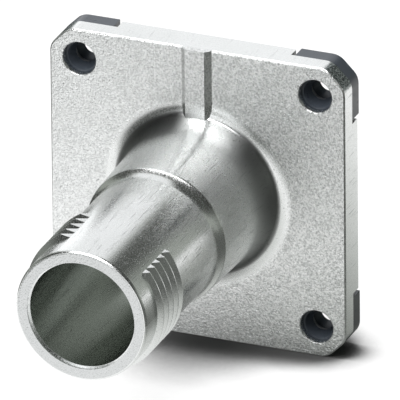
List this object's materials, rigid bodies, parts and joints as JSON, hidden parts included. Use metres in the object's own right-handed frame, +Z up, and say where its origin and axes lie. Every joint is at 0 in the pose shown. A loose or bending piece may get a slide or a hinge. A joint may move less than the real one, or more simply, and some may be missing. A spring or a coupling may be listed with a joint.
{
  "type": "circular connector flange housing",
  "caption": "Square-flange housing for a circular sensor connector: hollow round tube with interrupted coupling thread, flared base, key rib and black rubber flange gasket.",
  "frame": {"origin": "on the bore axis, in the plane of the flange's rear metal face, which meets the panel", "axes": "+Z up towards the flange edge that has the key rib, -Y along the bore axis towards the open end of the tube, +X to the right seen from the tube end"},
  "size_m": [0.025, 0.0275, 0.025],
  "materials": {
    "plated_casting": "satin nickel plate on a blasted zinc die casting",
    "black_rubber": "moulded, matte"
  },
  "bodies": {
    "root": {"housing": "plated_casting", "flange_gasket": "black_rubber"}
  },
  "joints": []
}
